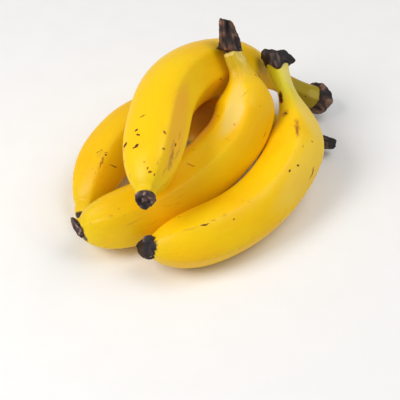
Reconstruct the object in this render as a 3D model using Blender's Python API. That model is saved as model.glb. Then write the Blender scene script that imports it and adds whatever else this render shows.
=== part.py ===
"""A bunch of four loose bananas, piled the way they lie on a table.

Three of the bananas rest on the table and the fourth lies across them.
Units are metres, +Z is up and the table's top is the plane z = 0.
The origin is the middle of the pile's footprint, on the table's top.
+X runs along the pile's longer side, and the blossom ends point towards -X and -Y.
"""

from math import cos, pi, radians, sin
from typing import NamedTuple

import bmesh
import bpy
from mathutils import Euler, Matrix, Vector
from mathutils.bvhtree import BVHTree


class Banana(NamedTuple):
    """The sizes of one banana, and how it lies."""

    name: str
    body_length: float  # along the bend, from the blossom end to the start of the stem
    girth_radius: float  # out to the ridges, at the fattest place
    blossom_length: float  # the straight part of the dried flower scar
    tip_length: float  # over which the body swells from the flower scar to its full girth
    tip_bluntness: float  # 1 for a pointed tip, more for a blunter one
    neck_length: float  # over which the body narrows to the stem
    stem_length: float
    stem_radius: float  # where the neck runs out into the stem
    cut_radius: float  # at the stem's torn end
    bends: tuple  # degrees turned over each third of the body, from the blossom end
    stem_bend: float  # degrees turned along the stem
    ridge_turn: float  # degrees that the five ridges are turned about the length
    lie: tuple  # roll, pitch and heading in degrees
    place: tuple  # where the middle of its length is, seen from above
    colour: tuple  # red, green, blue and alpha


TOP = Banana(
    name="top_banana",
    body_length=0.196,
    girth_radius=0.0196,
    blossom_length=0.004,
    tip_length=0.052,
    tip_bluntness=1.15,
    neck_length=0.053,
    stem_length=0.027,
    stem_radius=0.0078,
    cut_radius=0.0094,
    bends=(6.0, 43.0, 47.0),
    stem_bend=-22.0,
    ridge_turn=20.0,
    lie=(-149.0, 13.0, 55.0),
    place=(-0.005, 0.042),
    colour=(0.87, 0.60, 0.04, 1.0),
)
MIDDLE = Banana(
    name="middle_banana",
    body_length=0.166,
    girth_radius=0.0198,
    blossom_length=0.002,
    tip_length=0.042,
    tip_bluntness=1.45,
    neck_length=0.031,
    stem_length=0.026,
    stem_radius=0.0069,
    cut_radius=0.0041,
    bends=(24.0, 20.0, 70.0),
    stem_bend=-26.0,
    ridge_turn=0.0,
    lie=(46.0, -19.0, 43.0),
    place=(0.008, -0.004),
    colour=(0.85, 0.57, 0.03, 1.0),
)
FRONT = Banana(
    name="front_banana",
    body_length=0.171,
    girth_radius=0.0191,
    blossom_length=0.004,
    tip_length=0.050,
    tip_bluntness=1.15,
    neck_length=0.047,
    stem_length=0.022,
    stem_radius=0.0062,
    cut_radius=0.0078,
    bends=(25.0, 31.0, 52.0),
    stem_bend=-16.0,
    ridge_turn=0.0,
    lie=(25.0, -11.0, 54.0),
    place=(0.0465, -0.0195),
    colour=(0.86, 0.59, 0.03, 1.0),
)
BACK = Banana(
    name="back_banana",
    body_length=0.184,
    girth_radius=0.0181,
    blossom_length=0.004,
    tip_length=0.050,
    tip_bluntness=1.15,
    neck_length=0.045,
    stem_length=0.024,
    stem_radius=0.0048,
    cut_radius=0.0032,
    bends=(33.0, 67.0, -5.0),
    stem_bend=-1.0,
    ridge_turn=0.0,
    lie=(-167.0, 4.0, 8.0),
    place=(-0.013, 0.048),
    colour=(0.82, 0.52, 0.02, 1.0),
)

# What the four bananas share.
BLOSSOM_RADIUS = 0.0062  # the dried flower scar
END_ROUNDING = 0.0012  # how far the edge of each end is rounded off
RIDGE_DEPTH = 0.06  # how far the flats between the ridges lie in, as a share of the radius
RIDGES = 5

# How finely a banana is lofted.
POINTS_AROUND = 20
BLOSSOM_RINGS = 1
TIP_RINGS = 8
BELLY_RINGS = 7
NECK_RINGS = 8
STEM_RINGS = 4
STEPS_PER_RING = 8  # steps in which the bend is followed from one ring to the next

# How they lie on each other.
CLEARANCE = 0.0003  # between two bananas that touch
PRESSED = 0.0004  # how deep a banana's skin is pressed flat where it rests on the table
SUNK = 0.025  # how far into the others a banana starts before it is backed off
FIRST_STEP = 0.001
LAST_STEP = 0.00001
LEVEL_STEP = 0.5  # degrees
MIDDLE_WAY = (0.0, -1.0, 0.0)  # the way the middle banana backs off from the back and top ones
TOP_WAY = (0.0, 0.0, 1.0)  # the way the top banana backs off from the back one
TOP_HEIGHT = 0.055  # about how high the middle of the top banana lies
FRONT_WAY = (0.7, -0.7, 0.0)  # the way the front banana backs off from the other three

TABLE_SIZE = 0.6
TABLE_THICKNESS = 0.02

SKIN_ROUGHNESS = 0.42


def eased(share):
    """A smooth step from 0 to 1 with level ends."""
    return (1.0 - cos(pi * share)) / 2.0


def swollen(share, bluntness):
    """A rise from 0 to 1 that is steep at first and level at the end."""
    return (1.0 - (1.0 - share) ** 3) ** (1.0 / bluntness)


def blend(start, end, share):
    return start + (end - start) * share


def banana_length(banana):
    return banana.body_length + banana.stem_length


def radius_at(banana, distance):
    """The radius out to the ridges at a distance from the blossom end."""
    tip_start = banana.blossom_length
    belly_start = tip_start + banana.tip_length
    neck_start = banana.body_length - banana.neck_length
    if distance <= tip_start:
        return BLOSSOM_RADIUS
    if distance < belly_start:
        share = swollen((distance - tip_start) / banana.tip_length, banana.tip_bluntness)
        return blend(BLOSSOM_RADIUS, banana.girth_radius, share)
    if distance <= neck_start:
        return banana.girth_radius
    if distance < banana.body_length:
        share = eased((distance - neck_start) / banana.neck_length)
        return blend(banana.girth_radius, banana.stem_radius, share)
    share = (distance - banana.body_length) / banana.stem_length
    return blend(banana.stem_radius, banana.cut_radius, share)


def heading_at(banana, distance):
    """The angle that the length has turned through at a distance from the blossom end."""
    third = banana.body_length / 3.0
    turned = 0.0
    for bend in banana.bends:
        turned += radians(bend) * min(max(distance / third, 0.0), 1.0)
        distance -= third
    share = max(distance, 0.0) / banana.stem_length
    return turned + radians(banana.stem_bend) * share


def ring_distances(banana):
    """Where the rings stand along the length, closest together where the girth changes."""
    ends_length = banana.blossom_length + banana.tip_length + banana.neck_length
    stretches = (
        (banana.blossom_length, BLOSSOM_RINGS),
        (banana.tip_length, TIP_RINGS),
        (banana.body_length - ends_length, BELLY_RINGS),
        (banana.neck_length, NECK_RINGS),
        (banana.stem_length, STEM_RINGS),
    )
    distances = [0.0]
    for length, rings in stretches:
        start = distances[-1]
        for ring in range(1, rings + 1):
            distances.append(start + length * ring / rings)
    return distances


def spine(banana, distances):
    """The point and heading of the middle line at each distance, with its half-way point at the origin."""
    middle = banana_length(banana) / 2.0
    turned_at_middle = heading_at(banana, middle)

    def walked(start, end):
        """The way from one distance to another, followed in short straight steps."""
        way = Vector((0.0, 0.0, 0.0))
        step = (end - start) / STEPS_PER_RING
        for number in range(STEPS_PER_RING):
            angle = heading_at(banana, start + step * (number + 0.5)) - turned_at_middle
            way += Vector((cos(angle), sin(angle), 0.0)) * step
        return way

    points = [Vector((0.0, 0.0, 0.0))]
    for start, end in zip(distances, distances[1:]):
        points.append(points[-1] + walked(start, end))
    before = max(index for index, distance in enumerate(distances) if distance <= middle)
    centre = points[before] + walked(distances[before], middle)
    headings = [heading_at(banana, distance) - turned_at_middle for distance in distances]
    return [(point - centre, heading) for point, heading in zip(points, headings)]


def section(banana, centre, heading, radius):
    """One five-ridged ring, square to the length."""
    inwards = Vector((-sin(heading), cos(heading), 0.0))
    upwards = Vector((0.0, 0.0, 1.0))
    ring = []
    for number in range(POINTS_AROUND):
        angle = 2.0 * pi * number / POINTS_AROUND
        flat = (1.0 - cos(RIDGES * (angle - radians(banana.ridge_turn)))) / 2.0
        reach = radius * (1.0 - RIDGE_DEPTH * flat)
        ring.append(centre + inwards * (reach * cos(angle)) + upwards * (reach * sin(angle)))
    return ring


def banana_rings(banana):
    """All the rings from the blossom end to the torn end, with the edge of each end rounded off."""
    distances = ring_distances(banana)
    rings = []
    for (centre, heading), distance in zip(spine(banana, distances), distances):
        along = Vector((cos(heading), sin(heading), 0.0))
        radius = radius_at(banana, distance)
        if distance == distances[0]:
            rings.append(section(banana, centre, heading, radius - END_ROUNDING))
            centre = centre + along * END_ROUNDING
        if distance == distances[-1]:
            before_end = centre - along * END_ROUNDING
            rings.append(section(banana, before_end, heading, radius))
            radius -= END_ROUNDING
        rings.append(section(banana, centre, heading, radius))
    return rings


def skin_material(banana):
    material = bpy.data.materials.new(banana.name + "_skin")
    material.use_nodes = True
    shader = material.node_tree.nodes["Principled BSDF"]
    shader.inputs["Base Color"].default_value = banana.colour
    shader.inputs["Roughness"].default_value = SKIN_ROUGHNESS
    shader.inputs["Metallic"].default_value = 0.0
    return material


def make_banana(banana, collection):
    """Loft one banana through its rings and close both ends."""
    shape = bmesh.new()
    loops = [[shape.verts.new(point) for point in ring] for ring in banana_rings(banana)]
    for ring, next_ring in zip(loops, loops[1:]):
        for index in range(POINTS_AROUND):
            after = (index + 1) % POINTS_AROUND
            shape.faces.new((ring[index], ring[after], next_ring[after], next_ring[index]))
    shape.faces.new(loops[0])
    shape.faces.new(loops[-1])
    bmesh.ops.recalc_face_normals(shape, faces=shape.faces)
    bmesh.ops.triangulate(shape, faces=shape.faces)
    mesh = bpy.data.meshes.new(banana.name)
    shape.to_mesh(mesh)
    shape.free()
    mesh.shade_smooth()
    mesh.materials.append(skin_material(banana))
    fruit = bpy.data.objects.new(banana.name, mesh)
    collection.objects.link(fruit)
    turn = Euler([radians(angle) for angle in banana.lie], "XYZ").to_matrix().to_4x4()
    fruit.matrix_world = Matrix.Translation((*banana.place, 0.0)) @ turn
    return fruit


def surface_of(fruit, offset):
    """Points all over a moved banana in the world, and a search tree of its faces."""
    placing = Matrix.Translation(offset) @ fruit.matrix_world
    corners = [placing @ corner.co for corner in fruit.data.vertices]
    faces = [face.vertices[:] for face in fruit.data.polygons]
    edge_middles = [(corners[start] + corners[end]) / 2.0 for start, end in fruit.data.edge_keys]
    return corners + edge_middles, BVHTree.FromPolygons(corners, faces)


def gap_between(first, second):
    """The least distance between two surfaces, or 0 where they cross."""
    first_points, first_tree = first
    second_points, second_tree = second
    if first_tree.overlap(second_tree):
        return 0.0
    nearest_to_second = min(second_tree.find_nearest(point)[3] for point in first_points)
    nearest_to_first = min(first_tree.find_nearest(point)[3] for point in second_points)
    return min(nearest_to_second, nearest_to_first)


def shift(fruit, offset):
    fruit.matrix_world = Matrix.Translation(offset) @ fruit.matrix_world


def lowest_point(fruit):
    return min((fruit.matrix_world @ corner.co).z for corner in fruit.data.vertices)


def rest_on_table(fruit):
    """Lower or raise a banana until the table presses its skin flat."""
    shift(fruit, Vector((0.0, 0.0, -PRESSED - lowest_point(fruit))))


def back_off(fruit, way, others):
    """Sink a banana into the others, then back it off along a straight way until it just clears them."""
    way = Vector(way).normalized()
    shift(fruit, way * -SUNK)
    surfaces = [surface_of(other, Vector()) for other in others]

    def clears(distance):
        moved = surface_of(fruit, way * distance)
        return all(gap_between(moved, surface) >= CLEARANCE for surface in surfaces)

    distance = 0.0
    while not clears(distance):
        distance += FIRST_STEP
    step = FIRST_STEP
    while step > LAST_STEP:
        step /= 2.0
        if clears(distance - step):
            distance -= step
    shift(fruit, way * distance)


def level(fruit, heading, angle):
    """Raise the stem end of a banana by turning it about its middle."""
    middle = fruit.matrix_world.translation.copy()
    across = Vector((-sin(heading), cos(heading), 0.0))
    turn = Matrix.Rotation(-angle, 4, across)
    fruit.matrix_world = Matrix.Translation(middle) @ turn @ Matrix.Translation(-middle) @ fruit.matrix_world


def lay_across(fruit, banana, support):
    """Lay a banana on another one, and level it for as long as its stem end reaches the table."""
    back_off(fruit, TOP_WAY, [support])
    while lowest_point(fruit) < CLEARANCE:
        level(fruit, radians(banana.lie[2]), radians(LEVEL_STEP))
        back_off(fruit, TOP_WAY, [support])


def make_table(collection):
    """A slab with its top at z = 0, which trims the bananas that rest on it."""
    bpy.ops.mesh.primitive_cube_add(size=1.0, location=(0.0, 0.0, -TABLE_THICKNESS / 2.0))
    table = bpy.context.object
    table.name = "table_cutter"
    table.scale = (TABLE_SIZE, TABLE_SIZE, TABLE_THICKNESS)
    table.hide_render = True
    table.display_type = "WIRE"
    for holder in table.users_collection:
        holder.objects.unlink(table)
    collection.objects.link(table)
    return table


def press_flat(fruit, table):
    """Trim a resting banana level with the table's top."""
    trim = fruit.modifiers.new("pressed_flat", "BOOLEAN")
    trim.operation = "DIFFERENCE"
    trim.solver = "EXACT"
    trim.object = table


def centre_on_origin(fruits):
    """Slide the whole pile until the middle of its footprint is at the origin."""
    corners = []
    for fruit in fruits:
        corners += [fruit.matrix_world @ corner.co for corner in fruit.data.vertices]
    middle_x = (min(corner.x for corner in corners) + max(corner.x for corner in corners)) / 2.0
    middle_y = (min(corner.y for corner in corners) + max(corner.y for corner in corners)) / 2.0
    for fruit in fruits:
        shift(fruit, Vector((-middle_x, -middle_y, 0.0)))


def new_collection(name):
    collection = bpy.data.collections.new(name)
    bpy.context.scene.collection.children.link(collection)
    return collection


def build():
    for old in list(bpy.data.objects):
        bpy.data.objects.remove(old, do_unlink=True)
    bunch = new_collection("bunch_of_bananas")
    cutters = new_collection("cutters")

    back = make_banana(BACK, bunch)
    rest_on_table(back)
    top = make_banana(TOP, bunch)
    shift(top, Vector((0.0, 0.0, TOP_HEIGHT)))
    lay_across(top, TOP, back)
    middle = make_banana(MIDDLE, bunch)
    rest_on_table(middle)
    back_off(middle, MIDDLE_WAY, [back, top])
    front = make_banana(FRONT, bunch)
    rest_on_table(front)
    back_off(front, FRONT_WAY, [back, top, middle])
    centre_on_origin([back, top, middle, front])

    table = make_table(cutters)
    for fruit in (back, middle, front):
        press_flat(fruit, table)


build()
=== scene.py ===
"""The looks of a pile of four loose bananas, built around its packed design.

Each banana is a peel, a dried blossom end and a torn stem end. All three are lofted in the
banana's straightened coordinates: the distance along the bend from the blossom end, the angle
about the bend from its inner side, and the reach outwards from the middle line. The same
coordinates drive the materials, so that fibres, streaks and marks follow the fruit.
"""

from math import cos, pi, radians, sin
from typing import NamedTuple

import bpy
import numpy as np
from mathutils import Euler, Matrix, Vector, noise


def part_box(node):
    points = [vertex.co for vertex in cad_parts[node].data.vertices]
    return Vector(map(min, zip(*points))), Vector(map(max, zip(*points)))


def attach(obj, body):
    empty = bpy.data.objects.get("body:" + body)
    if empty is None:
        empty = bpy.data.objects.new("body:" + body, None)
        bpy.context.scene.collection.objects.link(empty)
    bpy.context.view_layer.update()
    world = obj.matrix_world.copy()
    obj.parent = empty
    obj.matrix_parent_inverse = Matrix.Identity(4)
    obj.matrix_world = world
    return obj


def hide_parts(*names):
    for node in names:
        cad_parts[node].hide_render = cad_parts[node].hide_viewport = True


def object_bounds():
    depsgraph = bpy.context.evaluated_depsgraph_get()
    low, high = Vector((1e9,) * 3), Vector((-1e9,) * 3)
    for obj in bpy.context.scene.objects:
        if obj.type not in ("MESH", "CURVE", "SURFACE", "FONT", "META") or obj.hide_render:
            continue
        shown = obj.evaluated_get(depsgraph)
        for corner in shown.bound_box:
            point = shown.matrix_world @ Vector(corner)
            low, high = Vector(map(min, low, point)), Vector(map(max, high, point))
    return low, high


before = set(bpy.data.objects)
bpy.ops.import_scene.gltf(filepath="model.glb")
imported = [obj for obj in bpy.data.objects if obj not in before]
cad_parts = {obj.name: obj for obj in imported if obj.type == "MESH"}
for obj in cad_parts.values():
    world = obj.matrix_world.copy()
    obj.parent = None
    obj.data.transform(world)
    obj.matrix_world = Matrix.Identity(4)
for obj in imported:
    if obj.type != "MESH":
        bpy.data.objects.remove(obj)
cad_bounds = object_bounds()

# The camera, at the height and with the long lens of the picture it follows.
CAMERA_ELEVATION = 45.8  # degrees
CAMERA_DISTANCE = 0.642
CAMERA_LENS = 90.0  # mm, on a sensor 36 mm wide
CAMERA_AIM = (-0.0044, -0.0128, 0.0)  # from the middle of the footprint

# The surroundings.
SKY_COLOUR = (0.98, 0.98, 1.0)
SKY_STRENGTH = 0.36
FLOOR_SIZE = 8.0
FLOOR_GRAIN = 0.02
FLOOR_SHADES = ((0.90, 0.90, 0.90), (0.93, 0.93, 0.93))
FLOOR_ROUGHNESS_RISE = (0.3, 0.7, 0.65, 0.75)

# The design's own sizes that all four bananas share.
BLOSSOM_RADIUS = 0.0062
END_ROUNDING = 0.0012
FACET_REACH = 0.994  # the share of its curves' radius that the design's flat facets reach

# The flats between the ridges.
FLATNESS = 0.085  # how far in they lie, as a share of the radius
RIDGE_SOFTNESS = 0.10

# How finely a peel is lofted.
RING_SPACING = 0.0008
POINTS_AROUND = 112
SPINE_STEP = 0.0005
SPINE_MARGIN = 0.03  # the middle line runs on straight past both ends
PLAIN_RINGS = 200  # in the plain fruit that is laid over the design
SLANT_FADE = 0.015  # how far up the tip the slant of its dried end is felt

# How uneven a peel is, as shares of its radius, and how large the patches are.
SWAY = 0.012
SWAY_SIZE = 0.022
SWAY_STRETCH = 2.0  # how much longer than wide the patches are
RIPPLE = 0.004
RIPPLE_SIZE = 0.005
RIPPLE_STRETCH = 5.0

# How finely an end is lofted.
END_RINGS = 44
END_POINTS_AROUND = 96
PINHOLE = 0.00005  # the reach of the innermost ring, which a fan closes
NARROWEST = 0.00002  # no lump takes the reach below this

# How uneven an end is.
FULL_ROUGHNESS = 1.6  # how soon along the profile its lumps have their full height
LUMP_SIZE = 0.0045
JAG_SIZE = 0.0030
FOLD_WIDTH = 0.0016
FOLD_STRETCH = 4.0
CRUMB_SIZE = 0.0011
CRUMB_REACH = 0.5  # as a share of a fold's
CRUMB_LENGTH = 0.4
LUMP_CREST = 0.8  # how much a lump, and then a fold, counts as raised
FOLD_CREST = 0.5
JAG_SHIFT = 9.0  # how far off in the noise each pattern lies from the lumps
FOLD_SHIFT = 5.0
CRUMB_SHIFT = 7.0
DEEP_DENT = 0.004  # a dent this deep gets the painted shade of the folds, whatever lumps are in it

# The colours of a peel.
YELLOW = (0.95, 0.60, 0.002)
DEEP_YELLOW = (0.92, 0.52, 0.002)
FIBRE_YELLOW = (0.96, 0.65, 0.01)
# Painted highlight: a pale cream for facets that face the light.
HIGHLIGHT_CREAM = (0.82, 0.66, 0.20)
# Painted shade, partly over bruises: a duller orange.
BRUISE_AND_SHADE_ORANGE = (0.92, 0.43, 0.030)
TIP_GREEN = (0.66, 0.56, 0.01)
SCUFF_BROWN = (0.38, 0.20, 0.03)
SCAR_RIM = (0.52, 0.20, 0.008)
SCAR_CORE = (0.070, 0.024, 0.005)
DRIED_RIM = (0.040, 0.020, 0.014)

# The patterns in a peel. A shortening is the share of its length that the fruit has to a pattern,
# which so runs out along it.
BROAD_PATCH = 0.030
FINE_GRAIN = 0.004
PORE = 0.0009
FIBRE_WIDTH = 0.0014
FIBRE_SHORTENING = 0.05
STREAK_WIDTH = 0.0012
STREAK_SHORTENING = 0.10
SPECK_SHORTENING = 0.6
SPECKS_PER_METRE = 130.0
MARK_SHAKE = 0.003  # how large and how deep the bays in the outline of a mark are
MARK_CORE = 0.55  # the share of a mark's size that has its full strength
MARK_RIM = 1.15  # and the share at which it has faded out
GREEN_RAGGEDNESS = 0.02
GREEN_PAST_NECK = 0.004  # how far up the stem the green is at its full strength
NECK_GREEN_STRENGTH = 0.95
TIP_GREEN_STRENGTH = 0.35
TIP_GREEN_SPAN = (0.004, 0.020)  # from where to where the green of the tip fades out
RIM_RAGGEDNESS = 0.002
STEM_RIM = (-0.0016, -0.0004)  # from the end of the peel on the stem
TIP_RIM = (0.0002, 0.0012)  # from the place up to which the tip has dried
PEEL_BUMPS = 0.00008
FIBRE_HEIGHT = 0.5  # how high each pattern stands, as a share of the bumps
PORE_HEIGHT = 0.3
BLEMISH_DEPTH = 1.2
BLEMISH_ROUGHNESS = 0.25  # how much rougher a blemish is than the wax
PEEL_SPECULAR = 0.22
GLOW = 0.08  # how much of the light goes into the peel and comes out again
GLOW_DEPTH = 0.002
GLOW_REACH = (1.0, 0.5, 0.1)  # of red, green and blue, as shares of that depth

# A rise: the pattern's value where it starts and where it ends, and what it carries that value
# from and to where that is not from 0 to 1.
DEEP_YELLOW_RISE = (0.35, 0.68)
FIBRE_YELLOW_RISE = (0.45, 0.80, 0.0, 0.35)
RUBBED_FIBRE_RISE = (0.32, 0.58, 0.35, 1.0)
WORN_GRAIN_RISE = (0.60, 0.74, 0.0, 0.45)
WORN_RIDGE_RISE = (0.75, 1.0)
SPECK_SIZE_RISE = (0.78, 1.0, 0.0, 0.13)
SPECK_EDGE_RISE = (-0.01, 0.03, 0.0, 0.8)
STREAK_RISE = (0.70, 0.76, 0.0, 0.5)
STREAKED_PATCH_RISE = (0.5, 0.7)
SCAR_RIM_RISE = (0.0, 0.5, 0.0, 0.75)
SCAR_CORE_RISE = (0.35, 0.9)
PEEL_ROUGHNESS_RISE = (0.3, 0.7, 0.34, 0.44)

# The patterns in dead tissue.
DRY_FIBRE_WIDTH = 0.0014
DRY_PATCH = 0.0050
DRY_PORE = 0.0005
DRY_BUMPS = 0.0003
CREST_SHARE = 0.7  # how far the mesh's crests and not the fibres tell what is raised
DRY_FLANK_RISE = (0.35, 0.60)
CREST_HIGHLIGHT_RISE = (0.50, 0.66)
DRY_PATCH_RISE = (0.42, 0.58)
DRY_ROUGHNESS_RISE = (0.3, 0.7, 0.60, 0.85)
BLOSSOM_SHORTENING = 0.8
STEM_SHORTENING = 0.35

# Dead tissue: the colours of its raised parts, its flanks and its folds. The pale of the raised parts is a
# painted highlight, and the dark of the folds is painted shade over the tissue's own dark brown.
PURPLE_BROWN = ((0.44, 0.30, 0.25), (0.115, 0.060, 0.052), (0.012, 0.006, 0.008))
RED_BROWN = ((0.36, 0.19, 0.11), (0.125, 0.052, 0.030), (0.014, 0.007, 0.006))
DARK_BROWN = ((0.22, 0.12, 0.07), (0.060, 0.030, 0.020), (0.010, 0.006, 0.005))
BLUE_BLACK = ((0.17, 0.15, 0.17), (0.034, 0.022, 0.028), (0.007, 0.004, 0.006))
NEAR_BLACK = ((0.12, 0.075, 0.060), (0.030, 0.016, 0.017), (0.008, 0.005, 0.006))


class Softbox(NamedTuple):
    """A square area light that faces the pile."""

    name: str
    place: tuple  # from the middle of the footprint
    size: float
    power: float  # watts
    colour: tuple


SOFTBOXES = (
    Softbox(name="key", place=(-0.75, -0.35, 0.85), size=0.6, power=8.4, colour=(1.0, 0.97, 0.92)),
    Softbox(name="overhead", place=(0.6, 0.05, 1.1), size=0.8, power=5.7, colour=(1.0, 1.0, 1.0)),
)


class Mark(NamedTuple):
    """A long, flat patch on the peel with soft edges."""

    along: float  # metres from the blossom end
    angle: float  # degrees about the bend
    length: float
    width: float
    strength: float
    turn: float = 0.0  # degrees that its length is turned away from the fruit's


class Swelling(NamedTuple):
    """A place where the peel stands further out than the design, or in where its reach is negative."""

    along: float
    angle: float
    length: float
    width: float  # degrees
    reach: float


class Lobe(NamedTuple):
    """A bulge, or a dent where it is negative, on one side of a dried end."""

    angle: float
    width: float  # degrees
    share: float  # how far along the profile it is, from 0 to 1
    span: float  # how much of the profile it takes up
    reach: float = 0.0  # metres further outwards
    past: float = 0.0  # metres further past the end


class End(NamedTuple):
    """A dried end, turned from its profile and then made lumpy."""

    profile: tuple  # (metres past the fruit's end, reach) from under the peel to the middle
    lobes: tuple
    slant: float  # metres further past the end on its longest side
    slant_angle: float  # which side that is
    lump: float  # how far the coarse lumps stand out
    fibre: float  # how far the folds along it stand out
    colours: tuple


class Banana(NamedTuple):
    """The design's sizes of one banana, and its looks."""

    node: str
    slot: str
    body_length: float
    girth_radius: float
    blossom_length: float
    tip_length: float
    tip_bluntness: float
    neck_length: float
    stem_length: float
    stem_radius: float
    cut_radius: float
    bends: tuple
    stem_bend: float
    lie: tuple
    rests: bool  # on the table, which presses it flat
    ridges: tuple  # degrees about the bend, in rising order
    neck_twist: float  # degrees that the ridges are turned where the neck meets the stem
    peel_start: float  # metres from the design's blossom end to the peel's
    peel_end: float  # metres of stem that the peel still covers
    dried_tip: float  # metres from the design's blossom end up to which the peel has dried
    seed: float  # where in the noise its pattern is taken from
    green: tuple  # the neck's colour
    green_length: float  # metres of body that it tints
    blossom_end: End
    stem_end: End
    scars: tuple
    scuffs: tuple
    # Duller orange patches: painted shade, partly over bruises.
    bruise_and_shade: tuple = ()
    # Pale cream patches: painted highlights where facets face the light.
    painted_highlights: tuple = ()
    swellings: tuple = ()


TOP = Banana(
    node="top_banana",
    slot="top_banana_skin",
    body_length=0.196,
    girth_radius=0.0196,
    blossom_length=0.004,
    tip_length=0.052,
    tip_bluntness=1.15,
    neck_length=0.053,
    stem_length=0.027,
    stem_radius=0.0078,
    cut_radius=0.0094,
    bends=(6.0, 43.0, 47.0),
    stem_bend=-22.0,
    lie=(-149.0, 13.0, 55.0),
    rests=False,
    ridges=(10.0, 85.0, 172.0, 266.0, 316.0),
    neck_twist=0.0,
    peel_start=0.0,
    peel_end=0.023,
    dried_tip=-0.0008,
    seed=3.0,
    green=(0.37, 0.27, 0.006),
    green_length=0.012,
    blossom_end=End(
        profile=(
            (-0.002, 0.005), (0.0002, 0.0058), (0.002, 0.0059), (0.003, 0.0053), (0.0028, 0.0041),
            (0.0014, 0.003), (0.0016, 0.0018), (0.0026, 0.0009), (0.0026, 0.0),
        ),
        lobes=(
            Lobe(230.0, width=50.0, share=0.05, span=0.25, past=0.0014),
            Lobe(62.0, width=28.0, share=0.45, span=0.25, reach=0.0009, past=0.0012),
            Lobe(5.0, width=22.0, share=0.45, span=0.25, reach=-0.0006),
            Lobe(120.0, width=20.0, share=0.45, span=0.25, reach=-0.0004),
            Lobe(160.0, width=12.0, share=0.4, span=0.2, reach=-0.0012, past=-0.0008),
            Lobe(190.0, width=18.0, share=0.35, span=0.2, reach=0.0006, past=0.0004),
            Lobe(295.0, width=16.0, share=0.3, span=0.2, reach=0.0012, past=-0.0004),
        ),
        slant=0.0006,
        slant_angle=60.0,
        lump=0.0006,
        fibre=0.0006,
        colours=PURPLE_BROWN,
    ),
    stem_end=End(
        profile=(
            (-0.006, 0.008), (-0.0048, 0.0095), (-0.002, 0.0104), (0.0008, 0.0106), (0.0026, 0.0092),
            (0.0024, 0.0066), (0.0012, 0.004), (0.002, 0.0),
        ),
        lobes=(
            Lobe(215.0, width=35.0, share=0.35, span=0.25, reach=0.0006, past=-0.0026),
            Lobe(300.0, width=40.0, share=0.4, span=0.3, reach=0.0004, past=0.0026),
            Lobe(30.0, width=30.0, share=0.05, span=0.2, past=-0.0024),
            Lobe(250.0, width=20.0, share=0.05, span=0.2, past=0.002),
        ),
        slant=0.0012,
        slant_angle=320.0,
        lump=0.0008,
        fibre=0.0006,
        colours=DARK_BROWN,
    ),
    scars=(
        Mark(0.036, 204.0, length=0.003, width=0.0016, turn=30.0, strength=0.85),
        Mark(0.032, 211.0, length=0.0035, width=0.0017, turn=-70.0, strength=0.85),
        Mark(0.029, 180.0, length=0.0045, width=0.0023, turn=55.0, strength=0.95),
        Mark(0.025, 207.0, length=0.0057, width=0.0018, turn=75.0, strength=0.9),
        Mark(0.046, 213.0, length=0.005, width=0.0012, turn=75.0, strength=0.55),
        Mark(0.012, 240.0, length=0.002, width=0.0014, strength=0.7),
        Mark(0.01, 247.0, length=0.0022, width=0.0016, turn=20.0, strength=0.7),
        Mark(0.009, 264.0, length=0.002, width=0.0016, strength=0.65),
        Mark(0.034, 262.0, length=0.0028, width=0.0016, turn=-40.0, strength=0.6),
        Mark(0.032, 291.0, length=0.0037, width=0.0016, strength=0.8),
        Mark(0.024, 266.0, length=0.0022, width=0.0017, strength=0.6),
        Mark(0.015, 228.0, length=0.002, width=0.0013, strength=0.35),
        Mark(0.02, 170.0, length=0.0025, width=0.0014, strength=0.7),
    ),
    scuffs=(
        Mark(0.023, 293.0, length=0.015, width=0.0026, turn=-8.0, strength=0.75),
        Mark(0.03, 284.0, length=0.012, width=0.0016, strength=0.4),
        Mark(0.018, 300.0, length=0.006, width=0.0016, strength=0.55),
        Mark(0.04, 296.0, length=0.011, width=0.0012, turn=-4.0, strength=0.45),
        Mark(0.028, 303.0, length=0.013, width=0.0011, turn=4.0, strength=0.4),
        Mark(0.014, 291.0, length=0.007, width=0.0012, strength=0.4),
    ),
    # Painted shade on the facet turned away from the light, over a bruise.
    bruise_and_shade=(Mark(0.046, 287.0, length=0.08, width=0.015, turn=-4.0, strength=0.6),),
    # A painted highlight on the stem near its torn end.
    painted_highlights=(Mark(0.214, 298.0, length=0.011, width=0.008, strength=0.22),),
)
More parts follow.
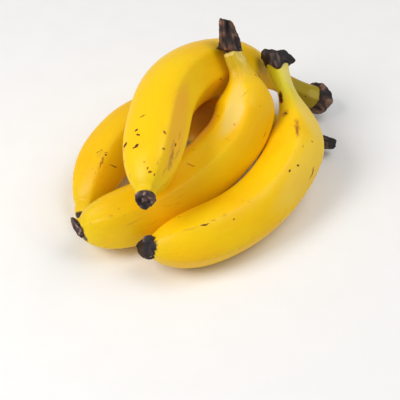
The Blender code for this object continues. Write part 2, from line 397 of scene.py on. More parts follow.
MIDDLE = Banana(
    node="middle_banana",
    slot="middle_banana_skin",
    body_length=0.166,
    girth_radius=0.0198,
    blossom_length=0.002,
    tip_length=0.042,
    tip_bluntness=1.45,
    neck_length=0.031,
    stem_length=0.026,
    stem_radius=0.0069,
    cut_radius=0.0041,
    bends=(24.0, 20.0, 70.0),
    stem_bend=-26.0,
    lie=(46.0, -19.0, 43.0),
    rests=True,
    ridges=(33.0, 76.0, 150.0, 222.0, 292.0),
    neck_twist=-14.0,
    peel_start=0.0005,
    peel_end=0.009,
    dried_tip=0.0001,
    seed=17.0,
    green=(0.6, 0.42, 0.02),
    green_length=0.018,
    blossom_end=End(
        profile=(
            (-0.0022, 0.0048), (-0.001, 0.0058), (0.0000, 0.0062), (0.0007, 0.0056), (0.0004, 0.0042),
            (-0.0002, 0.0028), (0.0003, 0.0014), (0.0006, 0.0),
        ),
        lobes=(
            Lobe(120.0, width=9.0, share=0.42, span=0.2, reach=-0.0014, past=-0.0016),
            Lobe(150.0, width=20.0, share=0.4, span=0.2, reach=0.0004, past=0.0012),
            Lobe(20.0, width=30.0, share=0.4, span=0.2, reach=0.0005, past=0.0006),
        ),
        slant=0.0024,
        slant_angle=-20.0,
        lump=0.0004,
        fibre=0.0004,
        colours=PURPLE_BROWN,
    ),
    stem_end=End(
        profile=(
            (-0.018, 0.0055), (-0.0174, 0.0068), (-0.015, 0.007), (-0.0105, 0.0069), (-0.006, 0.0062),
            (-0.0015, 0.005), (0.0012, 0.0038), (0.0014, 0.0022), (-0.0008, 0.001), (-0.0014, 0.0),
        ),
        lobes=(
            Lobe(75.0, width=12.0, share=0.56, span=0.18, reach=-0.004),
            Lobe(-28.0, width=36.0, share=0.38, span=0.12, reach=-0.0018),
            Lobe(-20.0, width=28.0, share=0.1, span=0.06, reach=0.0042),
            Lobe(150.0, width=50.0, share=0.05, span=0.2, reach=-0.0014),
            Lobe(110.0, width=14.0, share=0.3, span=0.3, reach=-0.0006),
            Lobe(35.0, width=10.0, share=0.4, span=0.3, reach=-0.0008),
        ),
        slant=0.003,
        slant_angle=-10.0,
        lump=0.0006,
        fibre=0.0008,
        colours=RED_BROWN,
    ),
    scars=(
        Mark(0.156, 130.0, length=0.0022, width=0.0016, strength=0.55),
        Mark(0.123, 22.0, length=0.0032, width=0.0014, turn=25.0, strength=0.6),
        Mark(0.121, 62.0, length=0.002, width=0.0014, strength=0.35),
        Mark(0.145, 68.0, length=0.009, width=0.0007, turn=35.0, strength=0.3),
        Mark(0.08, 52.0, length=0.007, width=0.0012, turn=60.0, strength=0.5),
        Mark(0.125, 134.0, length=0.004, width=0.0014, strength=0.35),
    ),
    scuffs=(
        Mark(0.03, 96.0, length=0.012, width=0.0012, turn=-10.0, strength=0.3),
        Mark(0.041, 112.0, length=0.01, width=0.001, turn=-15.0, strength=0.3),
        Mark(0.018, 72.0, length=0.003, width=0.002, strength=0.4),
        Mark(0.024, 62.0, length=0.0024, width=0.0018, strength=0.35),
        Mark(0.052, 92.0, length=0.006, width=0.0012, turn=20.0, strength=0.3),
        Mark(0.109, 68.0, length=0.0044, width=0.0012, turn=80.0, strength=0.3),
        Mark(0.172, 110.0, length=0.01, width=0.0036, strength=0.4),
    ),
    # Painted highlights: the bright flat facet and pale patches at the neck.
    painted_highlights=(
        Mark(0.17, 112.0, length=0.014, width=0.006, strength=0.55),
        Mark(0.134, 52.0, length=0.056, width=0.012, strength=0.6),
        Mark(0.173, 60.0, length=0.0024, width=0.018, strength=0.8),
    ),
)
FRONT = Banana(
    node="front_banana",
    slot="front_banana_skin",
    body_length=0.171,
    girth_radius=0.0191,
    blossom_length=0.004,
    tip_length=0.05,
    tip_bluntness=1.15,
    neck_length=0.047,
    stem_length=0.022,
    stem_radius=0.0062,
    cut_radius=0.0078,
    bends=(25.0, 31.0, 52.0),
    stem_bend=-16.0,
    lie=(25.0, -11.0, 54.0),
    rests=True,
    ridges=(6.0, 78.0, 150.0, 222.0, 294.0),
    neck_twist=-18.0,
    peel_start=0.0012,
    peel_end=0.02,
    dried_tip=0.0018,
    seed=31.0,
    green=(0.66, 0.6, 0.02),
    green_length=0.03,
    swellings=(
        Swelling(0.161, -5.0, length=0.024, width=50.0, reach=0.0018),
        Swelling(0.167, 128.0, length=0.034, width=48.0, reach=-0.0018),
    ),
    blossom_end=End(
        profile=(
            (-0.005, 0.0062), (-0.0042, 0.0071), (-0.003, 0.0069), (-0.0018, 0.006), (-0.001, 0.0046),
            (-0.0015, 0.003), (-0.0008, 0.0015), (-0.0004, 0.0),
        ),
        lobes=(
            Lobe(25.0, width=24.0, share=0.4, span=0.2, reach=0.0007, past=0.0006),
            Lobe(165.0, width=30.0, share=0.35, span=0.3, reach=-0.001),
            Lobe(310.0, width=26.0, share=0.45, span=0.2, reach=0.0006, past=0.0016),
            Lobe(70.0, width=12.0, share=0.4, span=0.3, reach=-0.0003, past=-0.0004),
            Lobe(215.0, width=16.0, share=0.4, span=0.3, reach=-0.0005, past=-0.0004),
        ),
        slant=0.0036,
        slant_angle=280.0,
        lump=0.0006,
        fibre=0.0006,
        colours=BLUE_BLACK,
    ),
    stem_end=End(
        profile=(
            (-0.006, 0.0054), (-0.0052, 0.0078), (-0.003, 0.0084), (0.0000, 0.0086), (0.0026, 0.0078),
            (0.0032, 0.0056), (0.002, 0.0034), (0.0026, 0.0),
        ),
        lobes=(
            Lobe(5.0, width=32.0, share=0.45, span=0.4, reach=0.0016, past=0.0026),
            Lobe(155.0, width=24.0, share=0.4, span=0.22, reach=0.0026, past=-0.0024),
            Lobe(60.0, width=34.0, share=0.05, span=0.25, reach=0.0004, past=-0.005),
            Lobe(85.0, width=20.0, share=0.45, span=0.3, reach=-0.0004, past=-0.001),
        ),
        slant=0.0008,
        slant_angle=-10.0,
        lump=0.0009,
        fibre=0.0003,
        colours=NEAR_BLACK,
    ),
    scars=(
        Mark(0.165, 10.0, length=0.013, width=0.004, strength=0.85),
        Mark(0.005, 52.0, length=0.004, width=0.0056, strength=1.0),
        Mark(0.15, 32.0, length=0.0034, width=0.003, strength=0.8),
        Mark(0.132, 73.0, length=0.0085, width=0.0016, turn=-8.0, strength=0.65),
        Mark(0.134, 72.0, length=0.019, width=0.003, turn=-8.0, strength=0.3),
        Mark(0.15, 32.0, length=0.0075, width=0.006, strength=0.22),
        Mark(0.132, 34.0, length=0.0014, width=0.0013, strength=0.45),
        Mark(0.128, 108.0, length=0.0018, width=0.0012, turn=80.0, strength=0.7),
        Mark(0.122, 92.0, length=0.0022, width=0.001, strength=0.35),
        Mark(0.109, 99.0, length=0.0026, width=0.0014, turn=20.0, strength=0.85),
        Mark(0.112, 137.0, length=0.0086, width=0.001, turn=-12.0, strength=0.9),
        Mark(0.035, 82.0, length=0.0068, width=0.0012, strength=0.75),
        Mark(0.041, 79.0, length=0.004, width=0.0008, turn=5.0, strength=0.4),
    ),
    scuffs=(
        Mark(0.134, 72.0, length=0.02, width=0.0034, turn=-8.0, strength=0.5),
        Mark(0.15, 32.0, length=0.0075, width=0.006, strength=0.6),
        Mark(0.025, 80.0, length=0.018, width=0.002, strength=0.22),
    ),
    # Painted highlights: the pale cream along the side that faces the light.
    painted_highlights=(
        Mark(0.15, 128.0, length=0.07, width=0.02, strength=0.45),
        Mark(0.18, 118.0, length=0.034, width=0.011, strength=0.75),
        Mark(0.11, 122.0, length=0.07, width=0.02, strength=0.25),
    ),
)
BACK = Banana(
    node="back_banana",
    slot="back_banana_skin",
    body_length=0.184,
    girth_radius=0.0181,
    blossom_length=0.004,
    tip_length=0.05,
    tip_bluntness=1.15,
    neck_length=0.045,
    stem_length=0.024,
    stem_radius=0.0048,
    cut_radius=0.0032,
    bends=(33.0, 67.0, -5.0),
    stem_bend=-1.0,
    lie=(-167.0, 4.0, 8.0),
    rests=True,
    ridges=(62.0, 134.0, 206.0, 278.0, 350.0),
    neck_twist=0.0,
    peel_start=-0.005,
    peel_end=0.008,
    dried_tip=-0.005,
    seed=47.0,
    green=(0.4, 0.32, 0.01),
    green_length=0.03,
    swellings=(Swelling(0.003, 180.0, length=0.018, width=80.0, reach=0.0022),),
    blossom_end=End(
        profile=(
            (0.0036, 0.0036), (0.0046, 0.0044), (0.0056, 0.0046), (0.0062, 0.004), (0.006, 0.0028),
            (0.0056, 0.0016), (0.006, 0.0008), (0.006, 0.0),
        ),
        lobes=(
            Lobe(300.0, width=24.0, share=0.4, span=0.2, reach=0.0004, past=0.0006),
            Lobe(120.0, width=20.0, share=0.4, span=0.2, reach=-0.0006, past=-0.0006),
        ),
        slant=0.0006,
        slant_angle=30.0,
        lump=0.0004,
        fibre=0.0004,
        colours=NEAR_BLACK,
    ),
    stem_end=End(
        profile=(
            (-0.0165, 0.004), (-0.0155, 0.0052), (-0.01, 0.0049), (-0.004, 0.004), (0.0008, 0.003),
            (0.002, 0.0018), (0.0014, 0.0),
        ),
        lobes=(
            Lobe(225.0, width=24.0, share=0.6, span=0.2, reach=0.0008, past=0.0006),
            Lobe(290.0, width=14.0, share=0.5, span=0.3, reach=-0.0009),
        ),
        slant=0.0006,
        slant_angle=225.0,
        lump=0.0006,
        fibre=0.0006,
        colours=NEAR_BLACK,
    ),
    scars=(
        Mark(0.033, 259.0, length=0.0028, width=0.0014, turn=30.0, strength=0.6),
        Mark(0.035, 264.0, length=0.002, width=0.001, turn=70.0, strength=0.45),
        Mark(0.035, 277.0, length=0.002, width=0.0011, turn=70.0, strength=0.5),
        Mark(0.033, 279.0, length=0.0022, width=0.0014, strength=0.7),
        Mark(0.03, 277.0, length=0.003, width=0.0016, turn=-20.0, strength=0.65),
        Mark(0.026, 279.0, length=0.01, width=0.0012, strength=0.5),
        Mark(0.03, 306.0, length=0.007, width=0.0011, turn=65.0, strength=0.65),
        # Partly a bruise, partly painted shade where the gap between the top and middle bananas lies over
        # this one.
        Mark(0.119, 312.0, length=0.05, width=0.03, strength=0.46),
    ),
    scuffs=(
        Mark(0.033, 268.0, length=0.007, width=0.006, strength=0.18),
        # The same patch: partly bruise, partly painted shade in the gap.
        Mark(0.119, 312.0, length=0.046, width=0.026, strength=0.35),
    ),
    # The same patch again: partly bruise, partly painted shade in the gap.
    bruise_and_shade=(Mark(0.119, 312.0, length=0.05, width=0.04, strength=0.55),),
)


def eased(share):
    """A smooth step from 0 to 1 with level ends."""
    return (1.0 - np.cos(pi * share)) / 2.0


def faded(distance, start, length):
    """1 at the start, falling evenly to 0 over this length."""
    return np.clip(1.0 - (distance - start) / length, 0.0, 1.0)


def beside(angle, degrees):
    """How far each angle is from one side of the fruit, from -pi to pi."""
    return (angle - radians(degrees) + pi) % (2.0 * pi) - pi


def banana_length(banana):
    return banana.body_length + banana.stem_length


def tip_share(banana, distance):
    """0 at the blossom end, 1 where the fruit has its full girth."""
    return np.clip((distance - banana.blossom_length) / banana.tip_length, 0.0, 1.0)


def neck_share(banana, distance):
    """0 where the neck starts, 1 where it runs out into the stem."""
    start = banana.body_length - banana.neck_length
    return np.clip((distance - start) / banana.neck_length, 0.0, 1.0)


def stem_share(banana, distance):
    """0 where the stem starts, 1 at its torn end."""
    return np.clip((distance - banana.body_length) / banana.stem_length, 0.0, 1.0)


def radius_at(banana, distance):
    """The design's radius out to the ridges at each distance."""
    swell = (1.0 - (1.0 - tip_share(banana, distance)) ** 3) ** (1.0 / banana.tip_bluntness)
    radius = BLOSSOM_RADIUS + (banana.girth_radius - BLOSSOM_RADIUS) * swell
    radius += (banana.stem_radius - banana.girth_radius) * eased(neck_share(banana, distance))
    radius += (banana.cut_radius - banana.stem_radius) * stem_share(banana, distance)
    return radius * FACET_REACH


def heading_at(banana, distance):
    """The angle that the length has turned through at each distance."""
    third = banana.body_length / 3.0
    turned = radians(banana.stem_bend) * stem_share(banana, distance)
    for number, bend in enumerate(banana.bends):
        turned = turned + radians(bend) * np.clip(distance / third - number, 0.0, 1.0)
    return turned


def flatness(banana, distance, angle):
    """How far the peel lies inside its ridges, as a share of the radius, at each place."""
    ridges = np.radians(banana.ridges)
    bounds = np.append(ridges, ridges[0] + 2.0 * pi)
    twist = radians(banana.neck_twist) * neck_share(banana, distance)
    turned = (angle - twist - bounds[0]) % (2.0 * pi) + bounds[0]
    flat = np.searchsorted(bounds, turned, side="right") - 1
    flat = np.clip(flat, 0, len(ridges) - 1)
    across = (turned - bounds[flat]) / (bounds[flat + 1] - bounds[flat])
    sag = np.sqrt(np.sin(pi * across) ** 2 + RIDGE_SOFTNESS**2) - RIDGE_SOFTNESS
    return FLATNESS * sag / (np.sqrt(1.0 + RIDGE_SOFTNESS**2) - RIDGE_SOFTNESS)


class Bend:
    """A banana's middle line, which carries straightened coordinates into the world."""

    def __init__(self, banana):
        middle = banana_length(banana) / 2.0
        self.distances = np.arange(-SPINE_MARGIN, banana_length(banana) + SPINE_MARGIN, SPINE_STEP)
        self.headings = heading_at(banana, self.distances) - heading_at(banana, middle)
        self.line = [self.walked(np.cos(self.headings), middle), self.walked(np.sin(self.headings), middle)]
        self.turn = np.array(Euler([radians(angle) for angle in banana.lie], "XYZ").to_matrix())
        self.offset = np.zeros(3)
        self.offset = self.into_place(banana)

    def walked(self, slope, middle):
        """The middle line along one axis, with its half-way point at 0."""
        steps = (slope[1:] + slope[:-1]) / 2.0 * SPINE_STEP
        line = np.concatenate([[0.0], np.cumsum(steps)])
        return line - np.interp(middle, self.distances, line)

    def into_place(self, banana):
        """The offset that puts the plain fruit where the design has it."""
        distance, angle = grid(np.linspace(0.0, banana_length(banana), PLAIN_RINGS), POINTS_AROUND)
        reach = radius_at(banana, distance) * (1.0 - flatness(banana, distance, angle))
        points = self.points(distance, angle, reach).reshape(-1, 3)
        low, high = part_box(banana.node)
        offset = (np.array(low) + np.array(high) - points.min(0) - points.max(0)) / 2.0
        offset[2] = high[2] - points[:, 2].max()
        return offset

    def points(self, distance, angle, reach):
        """Where straightened places are in the world."""
        heading = np.interp(distance, self.distances, self.headings)
        inwards = reach * np.cos(angle)
        own = np.stack(
            [
                np.interp(distance, self.distances, self.line[0]) - np.sin(heading) * inwards,
                np.interp(distance, self.distances, self.line[1]) + np.cos(heading) * inwards,
                reach * np.sin(angle),
            ],
            axis=-1,
        )
        return own @ self.turn.T + self.offset


def grid(distances, around):
    """Every distance with every angle, as two tables with a row for each ring."""
    angles = np.linspace(0.0, 2.0 * pi, around, endpoint=False)
    return np.meshgrid(distances, angles, indexing="ij")


def straightened(distance, angle, reach):
    """The places on the fruit as if it were not bent."""
    return np.stack([reach * np.cos(angle), reach * np.sin(angle), distance], axis=-1)


def noise_at(places, size, stretch, seed):
    """Smooth noise from -1 to 1, in patches of this size that are this much longer along the fruit."""
    scaled = places / size
    scaled[..., 2] /= stretch
    flat = scaled.reshape(-1, 3) + seed
    values = np.array([noise.noise(place) for place in flat.tolist()])
    return values.reshape(places.shape[:-1])


def loft_faces(rings, around):
    """Quads between the rings, and a fan at each end about its own middle corner."""
    faces = []
    for ring in range(rings - 1):
        for step in range(around):
            start = ring * around
            after = (step + 1) % around
            faces.append((start + step, start + after, start + around + after, start + around + step))
    first_middle = rings * around
    last_middle = first_middle + 1
    last_ring = (rings - 1) * around
    for step in range(around):
        after = (step + 1) % around
        faces.append((step, first_middle, after))
        faces.append((last_ring + step, last_ring + after, last_middle))
    return faces


def with_middles(table):
    """A row for each corner of a loft, then the two middles of its end rings."""
    middles = np.stack([table[0].mean(0), table[-1].mean(0)])
    return np.concatenate([table.reshape(-1, 3), middles])


def make_mesh(name, points, straight, ridge):
    """A closed mesh from rings of points. It stores what its material reads at each corner."""
    mesh = bpy.data.meshes.new(name)
    mesh.from_pydata(with_middles(points).tolist(), [], loft_faces(*ridge.shape))
    stored = mesh.attributes.new("straight", "FLOAT_VECTOR", "POINT")
    stored.data.foreach_set("vector", with_middles(straight).ravel().astype(np.float32))
    stored = mesh.attributes.new("ridge", "FLOAT", "POINT")
    stored.data.foreach_set("value", np.append(ridge.ravel(), [0.0, 0.0]).astype(np.float32))
    mesh.validate()
    mesh.shade_smooth()
    return mesh


def add_piece(banana, name, mesh, material):
    """A piece in place of the design's banana, with its finish."""
    piece = bpy.data.objects.new(banana.node + name, mesh)
    bpy.context.scene.collection.objects.link(piece)
    mesh.materials.append(material)
    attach(piece, "root")
    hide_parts(banana.node)


def peel_radius(banana, distance, slant):
    """The plain peel's radius, rounded off at its start.

    Where the peel starts past the design's end, the taper of the tip is squeezed into what is
    left of it. Where it starts before that end, the tip runs on straight, and the rest of the
    fruit is drawn out.
    """
    taper_end = banana.blossom_length + banana.tip_length
    stretch = (taper_end - banana.peel_start) / taper_end
    design_distance = np.minimum(distance, taper_end + (distance - taper_end) / stretch)
    rounding = faded(distance, banana.peel_start, END_ROUNDING)
    return radius_at(banana, design_distance - slant) - END_ROUNDING * (1.0 - np.sqrt(1.0 - rounding**2))


def unevenness(banana, places):
    """How far the peel sways and ripples in and out, as a share of its radius."""
    sway = SWAY * noise_at(places, SWAY_SIZE, SWAY_STRETCH, banana.seed)
    return sway + RIPPLE * noise_at(places, RIPPLE_SIZE, RIPPLE_STRETCH, banana.seed)


def swelling_at(swelling, distance, angle):
    """How far one swelling carries each place outwards."""
    along = (distance - swelling.along) / (swelling.length / 2.0)
    away = np.hypot(beside(angle, swelling.angle) / radians(swelling.width), along)
    return swelling.reach * np.exp(-(away**2))


def make_peel(banana, bend):
    """The whole skin, from under the dried blossom end to under the torn stem."""
    end = banana.body_length + banana.peel_end
    rings = round((end - banana.peel_start) / RING_SPACING)
    distance, angle = grid(np.linspace(banana.peel_start, end, rings), POINTS_AROUND)
    blossom = banana.blossom_end
    fade = faded(distance, banana.peel_start, SLANT_FADE)
    slant = blossom.slant * np.cos(angle - radians(blossom.slant_angle)) * fade
    radius = peel_radius(banana, distance, slant)
    distance = distance - slant
    inside = flatness(banana, distance, angle)
    uneven = unevenness(banana, straightened(distance, angle, radius))
    reach = radius * (1.0 - inside + uneven)
    for swelling in banana.swellings:
        reach = reach + swelling_at(swelling, distance, angle)
    points = bend.points(distance, angle, reach)
    if banana.rests:
        points[..., 2] = np.maximum(points[..., 2], 0.0)
    ridge = 1.0 - inside / inside.max(axis=1, keepdims=True)
    mesh = make_mesh(banana.node + "_peel", points, straightened(distance, angle, reach), ridge)
    add_piece(banana, "_peel", mesh, peel_material(banana))


def smooth_curve(points, count):
    """A curve through all the points, as even shares of the way from the first to the last."""
    points = np.array(points)
    padded = np.concatenate([[2 * points[0] - points[1]], points, [2 * points[-1] - points[-2]]])
    place = np.linspace(0.0, len(points) - 1.0, count)
    index = np.minimum(place.astype(int), len(points) - 2)
    share = (place - index)[:, None]
    before, start, finish, after = (padded[index + step] for step in range(4))
    return 0.5 * (
        2 * start
        + (finish - before) * share
        + (2 * before - 5 * start + 4 * finish - after) * share**2
        + (3 * start - before - 3 * finish + after) * share**3
    )


class TurnedEnd:
    """A dried end, as tables with a row for each ring, before it is put on its fruit."""

    def __init__(self, end, seed):
        curve = smooth_curve(end.profile, END_RINGS)
        self.past, self.angle = grid(curve[:, 0], END_POINTS_AROUND)
        self.reach = np.maximum(curve[:, 1], PINHOLE)[:, None] * np.ones_like(self.angle)
        self.widest = self.reach.max()
        self.share = np.linspace(0.0, 1.0, END_RINGS)[:, None]
        self.loose = np.clip(np.sin(pi * self.share) * FULL_ROUGHNESS, 0.0, 1.0)  # 0 at both ends
        self.add_lobes(end.lobes)
        cut = end.slant * np.cos(self.angle - radians(end.slant_angle))
        self.past = self.past + cut * self.reach / self.widest
        self.roughen(end, seed)

    def add_lobes(self, lobes):
        """The large bulges and dents, each on its own side."""
        self.dents = np.zeros_like(self.reach)
        for lobe in lobes:
            apart = beside(self.angle, lobe.angle) / radians(lobe.width)
            bulge = np.exp(-(apart**2) - ((self.share - lobe.share) / lobe.span) ** 2)
            self.reach = self.reach + lobe.reach * bulge * self.loose * self.reach / self.widest
            self.dents = self.dents + min(lobe.reach, 0.0) * bulge
            self.past = self.past + lobe.past * bulge

    def roughen(self, end, seed):
        """The lumps, folds and crumbs, and how raised or sunken they leave each place."""
        place = straightened(self.past, self.angle, self.reach)
        lumps = noise_at(place, LUMP_SIZE, 1.0, seed)
        jags = noise_at(place, JAG_SIZE, 1.0, seed + JAG_SHIFT)
        folds = noise_at(place, FOLD_WIDTH, FOLD_STRETCH, seed + FOLD_SHIFT)
        crumbs = noise_at(place, CRUMB_SIZE, 1.0, seed + CRUMB_SHIFT)
        outwards = end.lump * lumps + end.fibre * (folds + CRUMB_REACH * crumbs)
        self.reach = self.reach + self.loose * outwards * self.reach / self.widest
        self.reach = np.maximum(self.reach, NARROWEST)
        self.past = self.past + self.loose * (end.lump * jags + CRUMB_LENGTH * end.fibre * crumbs)
        # This crest value gives raised places a painted highlight, and folds and deep dents painted shade.
        raised = LUMP_CREST * lumps + FOLD_CREST * folds
        self.crest = (1.0 + raised) / 2.0 + self.dents / DEEP_DENT


def make_end(banana, bend, name, end, edge, way, shortening):
    """A dried end past one edge of the fruit. Its way is 1 along the fruit, or -1 against it."""
    turned = TurnedEnd(end, banana.seed)
    distance = edge + way * turned.past
    points = bend.points(distance, turned.angle, turned.reach)
    straight = straightened(distance, turned.angle, turned.reach)
    mesh = make_mesh(banana.node + name, points[::way], straight[::way], turned.crest[::way])
    add_piece(banana, name, mesh, dried_material(banana, name, end, shortening))


class Paint:
    """Builds the nodes of one material."""

    def __init__(self, name):
        self.material = bpy.data.materials.new(name)
        self.material.use_nodes = True
        self.nodes = self.material.node_tree.nodes
        self.links = self.material.node_tree.links
        self.shader = self.nodes["Principled BSDF"]

    def put(self, socket, value):
        """Set a socket, or link it where the value is another node's output."""
        if isinstance(value, bpy.types.NodeSocket):
            self.links.new(value, socket)
        elif hasattr(value, "__len__") and len(value) == 3 and socket.type == "RGBA":
            socket.default_value = (*value, 1.0)
        else:
            socket.default_value = value

    def shade(self, name, value):
        """Set or link a socket of the shader."""
        self.put(self.shader.inputs[name], value)

    def add(self, kind, inputs, output=0, **settings):
        """A node with these settings and inputs, as one of its outputs."""
        node = self.nodes.new(kind)
        for name, value in settings.items():
            setattr(node, name, value)
        for name, value in inputs.items():
            self.put(node.inputs[name], value)
        return node.outputs[output]

    def attribute(self, name, output):
        return self.add("ShaderNodeAttribute", {}, output, attribute_name=name)

    def moved(self, vector, location=(0, 0, 0), rotation=(0, 0, 0), scale=(1, 1, 1), kind="POINT"):
        inputs = {"Vector": vector, "Location": location, "Rotation": rotation, "Scale": scale}
        return self.add("ShaderNodeMapping", inputs, vector_type=kind)

    def shortened(self, vector, share):
        """The places on a fruit with this share of its length, which draws a pattern out along it."""
        return self.moved(vector, scale=(1.0, 1.0, share))

    def noise(self, vector, size, detail, output="Fac"):
        """Noise from 0 to 1 whose patches have this size in metres."""
        inputs = {"Vector": vector, "Scale": 1.0 / size, "Detail": detail}
        return self.add("ShaderNodeTexNoise", inputs, output)

    def math(self, operation, first, second):
        return self.add("ShaderNodeMath", {0: first, 1: second}, operation=operation)

    def vectors(self, operation, first, second, output="Vector"):
        return self.add("ShaderNodeVectorMath", {0: first, 1: second}, output, operation=operation)

    def ranged(self, value, low, high, to_low=0.0, to_high=1.0):
        """The value carried smoothly from one range to another, and held there."""
        inputs = {"Value": value, "From Min": low, "From Max": high, "To Min": to_low, "To Max": to_high}
        return self.add("ShaderNodeMapRange", inputs, interpolation_type="SMOOTHSTEP")

    def mix(self, factor, first, second):
        """A colour between two others. They are the node's sockets 6 and 7, and this is its output 2."""
        return self.add("ShaderNodeMix", {0: factor, 6: first, 7: second}, 2, data_type="RGBA")

    def bump(self, height, depth):
        """Bumps as deep in metres as the height is from 0 to 1."""
        self.shade("Normal", self.add("ShaderNodeBump", {"Height": height, "Distance": depth}))


class PeelPaint(Paint):
    """The paint of one peel, with the patterns that it is mixed from."""

    def __init__(self, banana):
        super().__init__(banana.node + "_peel")
        self.banana = banana
        self.straight = self.attribute("straight", "Vector")
        self.ridge = self.attribute("ridge", "Fac")
        self.distance = self.add("ShaderNodeSeparateXYZ", {0: self.straight}, "Z")
        self.own = self.moved(self.straight, (banana.seed, banana.seed, banana.seed))
        self.broad = self.noise(self.own, BROAD_PATCH, 3.0)
        self.fine = self.noise(self.own, FINE_GRAIN, 4.0)
        self.fibre = self.noise(self.shortened(self.own, FIBRE_SHORTENING), FIBRE_WIDTH, 3.0)
        self.shaky = self.shaken()

    def shaken(self):
        """The places on the fruit, shaken so that the outlines of marks are unsteady."""
        shake = self.noise(self.own, MARK_SHAKE, 2.0, "Color")
        shake = self.vectors("SUBTRACT", shake, (0.5, 0.5, 0.5))
        shake = self.vectors("MULTIPLY", shake, (MARK_SHAKE, MARK_SHAKE, MARK_SHAKE))
        return self.vectors("ADD", self.straight, shake)

    def ragged(self, raggedness):
        """The distance along the fruit, put out by the fibres by half of this to either side."""
        unsteady = self.math("SUBTRACT", self.fibre, 0.5)
        return self.math("ADD", self.distance, self.math("MULTIPLY", unsteady, raggedness))

    def patch(self, mark):
        """How much one mark covers each place."""
        banana = self.banana
        angle = radians(mark.angle)
        turn = radians(mark.turn)
        outwards = Vector((cos(angle), sin(angle), 0.0))
        around = Vector((-sin(angle), cos(angle), 0.0))
        along = Vector((0.0, 0.0, 1.0))
        side = around * cos(turn) - along * sin(turn)
        length = along * cos(turn) + around * sin(turn)
        inside = flatness(banana, mark.along, np.array(angle))
        reach = float(radius_at(banana, mark.along) * (1.0 - inside))
        centre = outwards * reach + along * mark.along
        rotation = Matrix((outwards, side, length)).transposed().to_euler()
        size = (reach, mark.width / 2.0, mark.length / 2.0)
        own = self.moved(self.shaky, centre, rotation, size, "TEXTURE")
        away = self.add("ShaderNodeVectorMath", {0: own}, "Value", operation="LENGTH")
        return self.ranged(away, MARK_CORE, MARK_RIM, mark.strength, 0.0)

    def marked(self, marks):
        """How much the marks together cover each place."""
        covered = 0.0
        for mark in marks:
            covered = self.math("MAXIMUM", self.patch(mark), covered)
        return covered

    def ripe_colour(self):
        """Yellow in broad patches and long fibres, greener at the neck and the tip."""
        banana = self.banana
        colour = self.mix(self.ranged(self.broad, *DEEP_YELLOW_RISE), YELLOW, DEEP_YELLOW)
        colour = self.mix(self.ranged(self.fibre, *FIBRE_YELLOW_RISE), colour, FIBRE_YELLOW)
        edge = self.ragged(GREEN_RAGGEDNESS)
        green_start = banana.body_length - banana.green_length
        green_end = banana.body_length + GREEN_PAST_NECK
        neck = self.ranged(edge, green_start, green_end, 0.0, NECK_GREEN_STRENGTH)
        colour = self.mix(neck, colour, banana.green)
        tip = self.ranged(edge, *TIP_GREEN_SPAN, TIP_GREEN_STRENGTH, 0.0)
        return self.mix(tip, colour, TIP_GREEN)

    def worn(self):
        """How scuffed each place is, by its scuffs along the fibres and finely along the ridges."""
        fibrous = self.ranged(self.fibre, *RUBBED_FIBRE_RISE)
        rubbed = self.math("MULTIPLY", self.marked(self.banana.scuffs), fibrous)
        grain = self.ranged(self.fine, *WORN_GRAIN_RISE)
        on_ridges = self.math("MULTIPLY", grain, self.ranged(self.ridge, *WORN_RIDGE_RISE))
        return self.math("MAXIMUM", rubbed, on_ridges)

    def specks(self):
        """Small round specks, each in a cell of its own, in about one cell in five."""
        inputs = {"Vector": self.shortened(self.own, SPECK_SHORTENING), "Scale": SPECKS_PER_METRE}
        away = self.add("ShaderNodeTexVoronoi", inputs, "Distance")
        drawn = self.add("ShaderNodeTexVoronoi", inputs, "Color")
        chance = self.add("ShaderNodeSeparateColor", {0: drawn}, "Red")
        size = self.ranged(chance, *SPECK_SIZE_RISE)
        return self.ranged(self.math("SUBTRACT", size, away), *SPECK_EDGE_RISE)

    def streaks(self):
        """Fine dark streaks along the fruit, in some of its broad patches."""
        streak = self.noise(self.shortened(self.own, STREAK_SHORTENING), STREAK_WIDTH, 2.0)
        patches = self.ranged(self.broad, *STREAKED_PATCH_RISE)
        return self.math("MULTIPLY", self.ranged(streak, *STREAK_RISE), patches)

    def blemished(self):
        """How blemished each place is, by specks, streaks and scars."""
        small = self.math("MAXIMUM", self.specks(), self.streaks())
        return self.math("MAXIMUM", small, self.marked(self.banana.scars))

    def dried_rims(self):
        """Where the peel has dried: beside the torn stem, and along the slanted blossom end."""
        banana = self.banana
        edge = self.ragged(RIM_RAGGEDNESS)
        peel_end = banana.body_length + banana.peel_end
        at_stem = self.ranged(edge, peel_end + STEM_RIM[0], peel_end + STEM_RIM[1])
        cut_angle = radians(banana.blossom_end.slant_angle)
        tilt = Vector((cos(cut_angle), sin(cut_angle), 0.0)) * banana.blossom_end.slant / BLOSSOM_RADIUS
        slant = self.vectors("DOT_PRODUCT", self.straight, tilt, "Value")
        slanted = self.math("ADD", edge, slant)
        rim = [banana.dried_tip + place for place in TIP_RIM]
        return self.math("MAXIMUM", at_stem, self.ranged(slanted, *rim, 1.0, 0.0))

    def wax(self, blemishes):
        """A dull shine over faint fibres and pores, broken by the blemishes."""
        shine = self.ranged(self.fine, *PEEL_ROUGHNESS_RISE)
        rough = self.math("MULTIPLY", blemishes, BLEMISH_ROUGHNESS)
        self.shade("Roughness", self.math("ADD", shine, rough))
        self.shade("Specular IOR Level", PEEL_SPECULAR)
        self.shade("Subsurface Weight", GLOW)
        self.shade("Subsurface Radius", GLOW_REACH)
        self.shade("Subsurface Scale", GLOW_DEPTH)
        fibres = self.math("MULTIPLY", self.fibre, FIBRE_HEIGHT)
        pores = self.math("MULTIPLY", self.noise(self.own, PORE, 2.0), PORE_HEIGHT)
        pits = self.math("MULTIPLY", blemishes, BLEMISH_DEPTH)
        height = self.math("SUBTRACT", self.math("ADD", fibres, pores), pits)
        self.bump(height, PEEL_BUMPS)


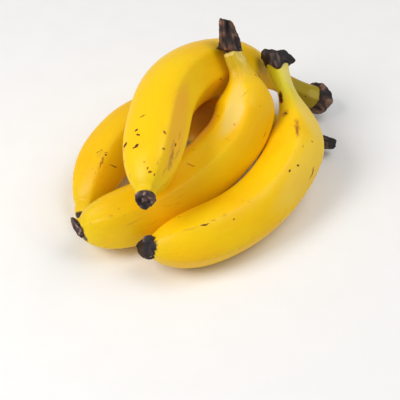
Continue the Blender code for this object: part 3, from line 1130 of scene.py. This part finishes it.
def peel_material(banana):
    """Waxy yellow skin, with its wear and its scars."""
    paint = PeelPaint(banana)
    colour = paint.ripe_colour()
    # Painted highlights in pale cream.
    colour = paint.mix(paint.marked(banana.painted_highlights), colour, HIGHLIGHT_CREAM)
    # Painted shade, partly over bruises, in duller orange.
    colour = paint.mix(paint.marked(banana.bruise_and_shade), colour, BRUISE_AND_SHADE_ORANGE)
    colour = paint.mix(paint.worn(), colour, SCUFF_BROWN)
    blemishes = paint.blemished()
    colour = paint.mix(paint.ranged(blemishes, *SCAR_RIM_RISE), colour, SCAR_RIM)
    colour = paint.mix(paint.ranged(blemishes, *SCAR_CORE_RISE), colour, SCAR_CORE)
    paint.shade("Base Color", paint.mix(paint.dried_rims(), colour, DRIED_RIM))
    paint.wax(blemishes)
    return paint.material


def dried_material(banana, name, end, shortening):
    """Dead tissue: dark in its folds, where painted shade deepens its own dark brown, and paler and browner
    on its crests, where a painted highlight falls.
    """
    light, middle, dark = end.colours
    paint = Paint(banana.node + name)
    own = paint.moved(paint.attribute("straight", "Vector"), (banana.seed, banana.seed, banana.seed))
    fibre = paint.noise(paint.shortened(own, shortening), DRY_FIBRE_WIDTH, 4.0)
    patch = paint.noise(own, DRY_PATCH, 3.0)
    crest = paint.math("MULTIPLY", paint.attribute("ridge", "Fac"), CREST_SHARE)
    raised = paint.math("ADD", crest, paint.math("MULTIPLY", fibre, 1.0 - CREST_SHARE))
    # Darker towards the folds with painted shade, and paler on the crests with a painted highlight.
    colour = paint.mix(paint.ranged(raised, *DRY_FLANK_RISE), dark, middle)
    shown = paint.ranged(patch, *DRY_PATCH_RISE)
    painted_highlights = paint.math("MULTIPLY", paint.ranged(raised, *CREST_HIGHLIGHT_RISE), shown)
    paint.shade("Base Color", paint.mix(painted_highlights, colour, light))
    paint.shade("Roughness", paint.ranged(fibre, *DRY_ROUGHNESS_RISE))
    paint.bump(paint.math("ADD", fibre, paint.noise(own, DRY_PORE, 3.0)), DRY_BUMPS)
    return paint.material


def make_banana(banana):
    bend = Bend(banana)
    make_peel(banana, bend)
    make_end(banana, bend, "_blossom_end", banana.blossom_end, 0.0, -1, BLOSSOM_SHORTENING)
    make_end(banana, bend, "_torn_stem", banana.stem_end, banana_length(banana), 1, STEM_SHORTENING)


def make_floor():
    """A pale table top that runs far out of view."""
    bpy.ops.mesh.primitive_plane_add(size=FLOOR_SIZE)
    floor = bpy.context.object
    floor.name = "floor"
    paint = Paint("floor")
    grain = paint.noise(paint.add("ShaderNodeTexCoord", {}, "Object"), FLOOR_GRAIN, 4.0)
    paint.shade("Base Color", paint.mix(grain, *FLOOR_SHADES))
    paint.shade("Roughness", paint.ranged(grain, *FLOOR_ROUGHNESS_RISE))
    floor.data.materials.append(paint.material)


def aim(thing, target):
    thing.rotation_euler = (Vector(target) - thing.location).to_track_quat("-Z", "Y").to_euler()


def add_softbox(softbox, target):
    light = bpy.data.lights.new(softbox.name, "AREA")
    light.size = softbox.size
    light.energy = softbox.power
    light.color = softbox.colour
    lamp = bpy.data.objects.new(softbox.name, light)
    lamp.location = target + Vector(softbox.place)
    bpy.context.scene.collection.objects.link(lamp)
    aim(lamp, target)


def make_sky():
    """Even light from all round, and colours that are shown as they are."""
    world = bpy.data.worlds.new("studio")
    world.use_nodes = True
    background = world.node_tree.nodes["Background"]
    background.inputs["Color"].default_value = (*SKY_COLOUR, 1.0)
    background.inputs["Strength"].default_value = SKY_STRENGTH
    bpy.context.scene.world = world
    bpy.context.scene.view_settings.view_transform = "Standard"


def make_camera(middle):
    lens = bpy.data.cameras.new("camera")
    lens.lens = CAMERA_LENS
    camera = bpy.data.objects.new("camera", lens)
    target = middle + Vector(CAMERA_AIM)
    elevation = radians(CAMERA_ELEVATION)
    camera.location = target + CAMERA_DISTANCE * Vector((0.0, -cos(elevation), sin(elevation)))
    bpy.context.scene.collection.objects.link(camera)
    aim(camera, target)
    bpy.context.scene.camera = camera


low, high = (Vector(corner) for corner in cad_bounds)
on_table = Vector(((low.x + high.x) / 2.0, (low.y + high.y) / 2.0, 0.0))
for fruit in (BACK, TOP, MIDDLE, FRONT):
    make_banana(fruit)
make_floor()
for softbox in SOFTBOXES:
    add_softbox(softbox, on_table)
make_sky()
make_camera(on_table)
